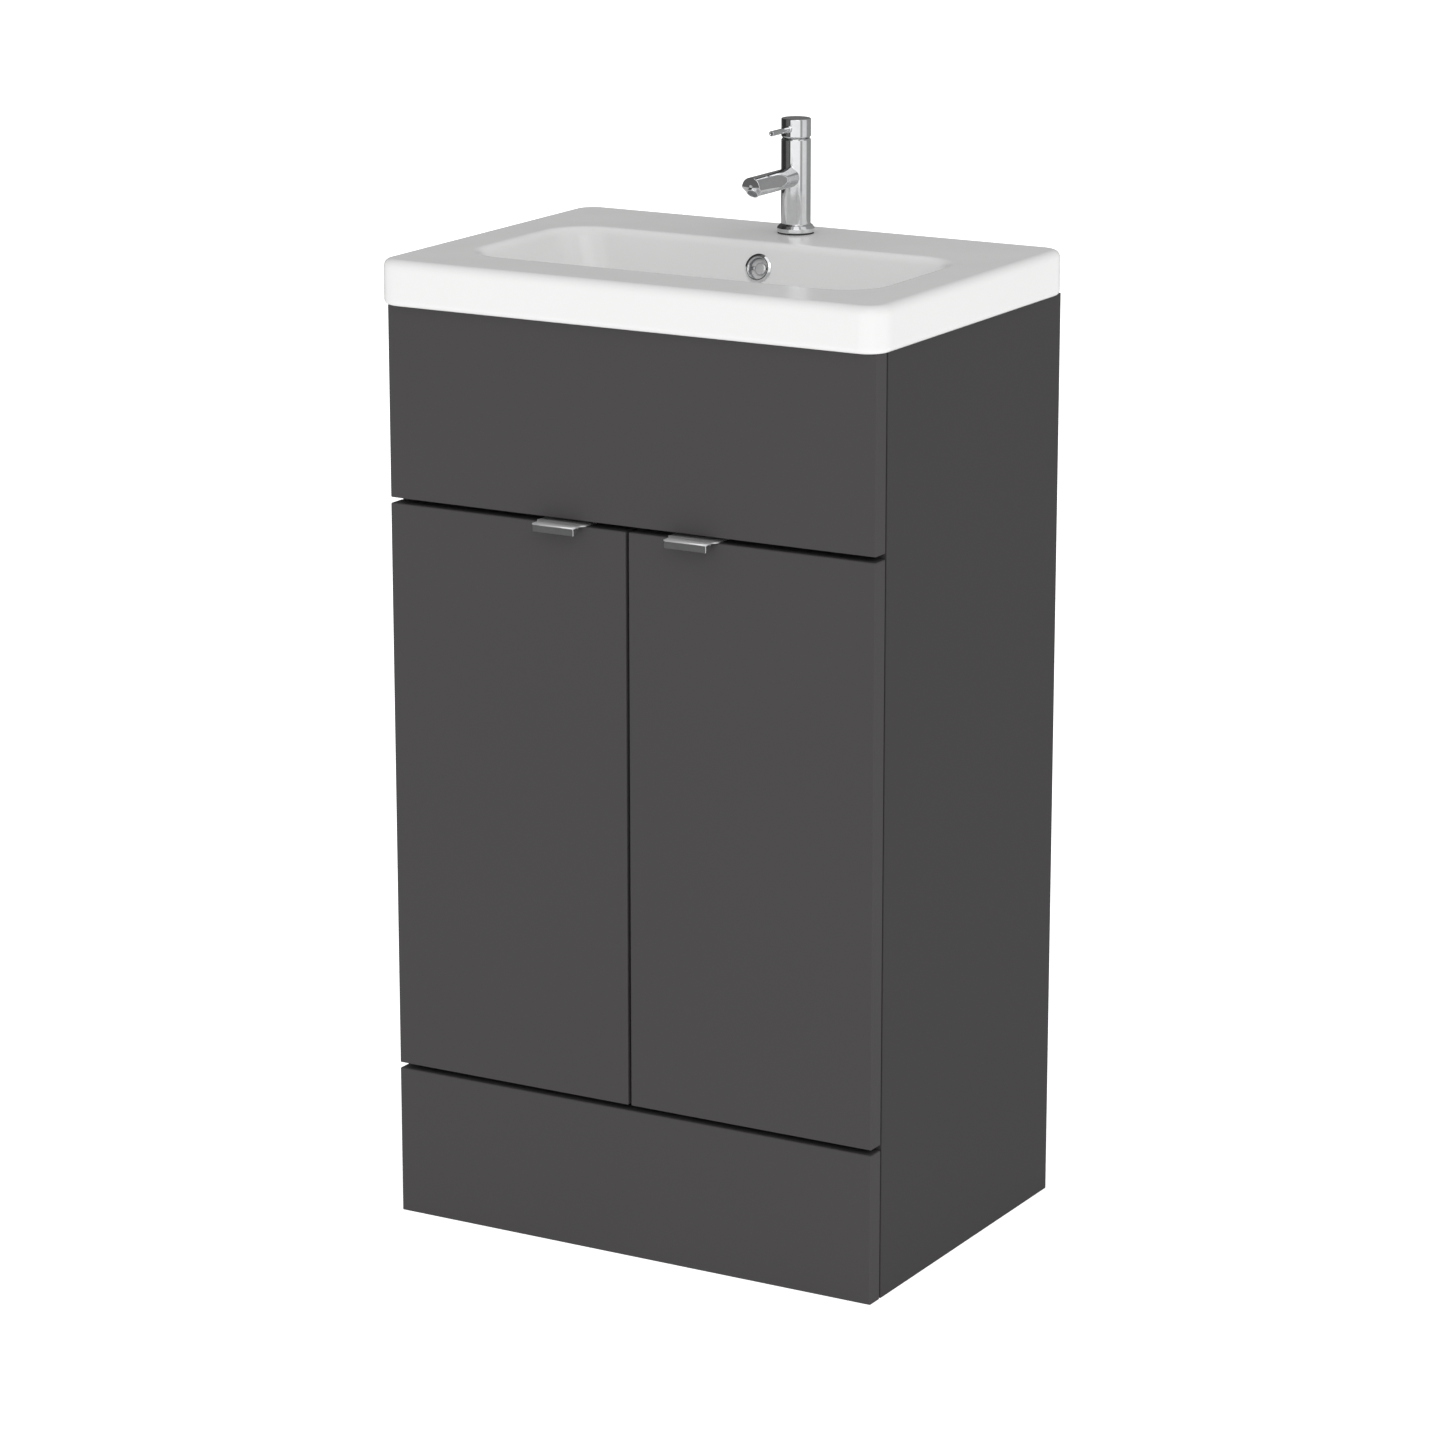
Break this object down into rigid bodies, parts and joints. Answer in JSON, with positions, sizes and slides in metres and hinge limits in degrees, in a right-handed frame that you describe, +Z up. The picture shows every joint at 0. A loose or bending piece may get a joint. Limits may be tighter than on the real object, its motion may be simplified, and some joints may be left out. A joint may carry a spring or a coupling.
{
  "type": "bathroom vanity cabinet",
  "caption": "Floor-standing vanity with two hinged doors, a fixed top panel and plinth, a ceramic basin with overflow and click plug, a mixer tap and a bottle trap.",
  "frame": {"origin": "on the floor, in the middle of the footprint", "axes": "+Z up, +Y towards the wall, -Y the front with the doors, +X to the right seen from the front"},
  "size_m": [0.514, 0.37, 1.0125],
  "materials": {
    "front_laminate": "satin foil, dark grey",
    "side_laminate": "satin foil, dark grey",
    "carcass_board": "melamine, dark grey",
    "back_board": "thin board, dark grey",
    "ceramic": "gloss white glaze",
    "chrome": "polished",
    "hinge_steel": "nickel plated",
    "screws": "zinc plated",
    "cams": "die cast",
    "dowel_wood": "bare beech",
    "trap_plastic": "white",
    "rubber": "black",
    "aerator": "grey",
    "cartridge": "white",
    "cartridge_metal": "turned"
  },
  "bodies": {
    "cabinet": {"aerator": "aerator", "back_panel": "back_board", "base_panel": "carcass_board", "basin": "ceramic", "bracket_screws": "screws", "cam_bolts": "screws", "cam_locks": "cams", "cartridge_body": "cartridge", "cartridge_nut": "cartridge_metal", "corner_brackets": "hinge_steel", "door_bumpers": "rubber", "dowels": "dowel_wood", "front_rail": "carcass_board", "front_spacers": "rubber", "hinge_arms": "hinge_steel", "hinge_plates": "hinge_steel", "outlet_pipe": "trap_plastic", "overflow_ring": "chrome", "plate_screws": "screws", "plinth_panel": "front_laminate", "shelf": "carcass_board", "shelf_pins": "screws", "side_panel_left": "side_laminate", "side_panel_right": "side_laminate", "stretcher": "carcass_board", "tap_body": "chrome", "tap_nut": "hinge_steel", "tap_pad": "rubber", "tap_seal": "rubber", "tap_stud": "hinge_steel", "tap_washer": "hinge_steel", "top_front_panel": "front_laminate", "trap_body": "trap_plastic", "trap_cup": "trap_plastic", "trap_inlet": "trap_plastic", "trap_nuts": "trap_plastic", "wall_rail": "carcass_board", "waste_body": "chrome", "waste_gasket": "rubber", "waste_nut": "trap_plastic", "waste_washer": "rubber"},
    "door_left": {"door_left": "front_laminate", "pull_left": "chrome", "pull_screws_left": "screws", "hinge_cups_left": "hinge_steel", "cup_screws_left": "screws"},
    "hinge_crank_left": {"hinge_cranks_left": "hinge_steel"},
    "hinge_strap_left": {"hinge_straps_left": "hinge_steel"},
    "door_right": {"door_right": "front_laminate", "pull_right": "chrome", "pull_screws_right": "screws", "hinge_cups_right": "hinge_steel", "cup_screws_right": "screws"},
    "hinge_crank_right": {"hinge_cranks_right": "hinge_steel"},
    "hinge_strap_right": {"hinge_straps_right": "hinge_steel"},
    "mixer_turn": {"cartridge_turret": "cartridge"},
    "mixer_lift": {"tap_cap": "chrome", "tap_lever": "chrome", "cartridge_stem": "cartridge_metal"},
    "plug": {"waste_plug": "chrome"}
  },
  "joints": [
    {"name": "door_left_hinge", "type": "hinge", "parent": "cabinet", "child": "door_left", "pos_m": [-0.2455, -0.1615, 0.4138], "axis": [0, 0, -1], "range_deg": [0, 100]},
    {"name": "hinge_crank_left_pin", "type": "hinge", "parent": "cabinet", "child": "hinge_crank_left", "pos_m": [-0.223, -0.1426, 0.4138], "axis": [0, 0, -1], "range_deg": [0, 100]},
    {"name": "hinge_strap_left_pin", "type": "hinge", "parent": "hinge_crank_left", "child": "hinge_strap_left", "pos_m": [-0.2075, -0.1386, 0.4138], "axis": [0, 0, -1], "range_deg": [-100, 0]},
    {"name": "door_right_hinge", "type": "hinge", "parent": "cabinet", "child": "door_right", "pos_m": [0.2455, -0.1615, 0.4138], "axis": [0, 0, 1], "range_deg": [0, 100]},
    {"name": "hinge_crank_right_pin", "type": "hinge", "parent": "cabinet", "child": "hinge_crank_right", "pos_m": [0.223, -0.1426, 0.4138], "axis": [0, 0, 1], "range_deg": [0, 100]},
    {"name": "hinge_strap_right_pin", "type": "hinge", "parent": "hinge_crank_right", "child": "hinge_strap_right", "pos_m": [0.2075, -0.1386, 0.4138], "axis": [0, 0, 1], "range_deg": [-100, 0]},
    {"name": "mixer_turn", "type": "hinge", "parent": "cabinet", "child": "mixer_turn", "pos_m": [0, 0.137, 0.99], "axis": [0, 0, 1], "range_deg": [-45, 45]},
    {"name": "mixer_lift", "type": "hinge", "parent": "mixer_turn", "child": "mixer_lift", "pos_m": [0, 0.14965, 0.9949], "axis": [-1, 0, 0], "range_deg": [0, 18]},
    {"name": "plug_lift", "type": "slide", "parent": "cabinet", "child": "plug", "axis": [0, 0, 1], "range_m": [0, 0.009]}
  ],
  "couplings": [
    {"joint": "hinge_crank_left_pin", "follows": "door_left_hinge", "ratio": 1},
    {"joint": "hinge_strap_left_pin", "follows": "door_left_hinge", "ratio": -1},
    {"joint": "hinge_crank_right_pin", "follows": "door_right_hinge", "ratio": 1},
    {"joint": "hinge_strap_right_pin", "follows": "door_right_hinge", "ratio": -1}
  ]
}
